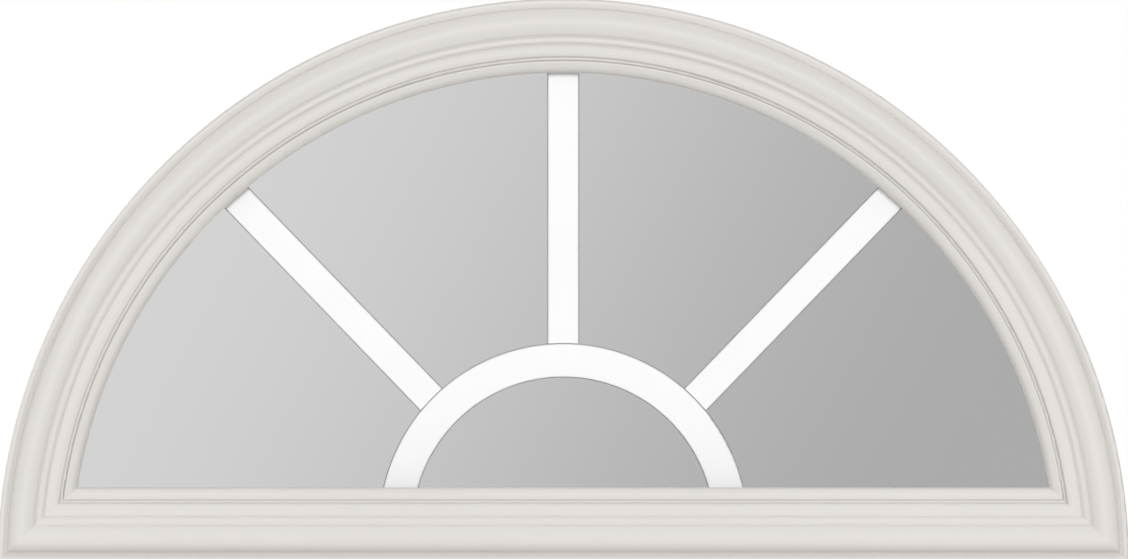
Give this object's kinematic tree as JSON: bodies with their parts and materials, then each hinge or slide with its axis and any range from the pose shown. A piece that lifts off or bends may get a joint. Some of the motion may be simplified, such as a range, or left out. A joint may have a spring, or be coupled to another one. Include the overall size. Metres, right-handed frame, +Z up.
{
  "type": "sunburst fanlight",
  "caption": "Half-round door fanlight: moulded frames clamp a sealed glazed unit whose sunburst grille, a hub arc with radiating spokes, stands between the panes.",
  "frame": {"origin": "middle of the flat base edge, on the plane where the exterior frame's rim bears on the door", "axes": "+X to the right along the base seen from outside, +Y into the door from the exterior face, +Z up"},
  "size_m": [0.6096, 0.0653, 0.3031],
  "materials": {
    "frame": "warm off-white moulded, satin",
    "glass": "clear float glass",
    "grille": "white enamel",
    "spacer": "mill, perforated inner face",
    "clip": "white moulded",
    "tape": "white closed-cell foam",
    "seal": "dark trowelled sealant",
    "screw": "zinc plated"
  },
  "bodies": {
    "root": {"corner_key_left": "clip", "corner_key_right": "clip", "edge_seal": "seal", "exterior_frame": "frame", "exterior_pane": "glass", "exterior_tape": "tape", "frame_screw_1": "screw", "frame_screw_2": "screw", "frame_screw_3": "screw", "frame_screw_4": "screw", "frame_screw_5": "screw", "frame_screw_6": "screw", "frame_screw_7": "screw", "frame_screw_8": "screw", "grille_hub": "grille", "grille_spoke_centre": "grille", "grille_spoke_left": "grille", "grille_spoke_right": "grille", "hub_clip_left": "clip", "hub_clip_right": "clip", "interior_frame": "frame", "interior_pane": "glass", "interior_tape": "tape", "screw_cap_1": "frame", "screw_cap_2": "frame", "screw_cap_3": "frame", "screw_cap_4": "frame", "screw_cap_5": "frame", "screw_cap_6": "frame", "screw_cap_7": "frame", "screw_cap_8": "frame", "spacer_arch": "spacer", "spacer_sill": "spacer", "spoke_clip_centre": "clip", "spoke_clip_left": "clip", "spoke_clip_right": "clip"}
  },
  "joints": []
}
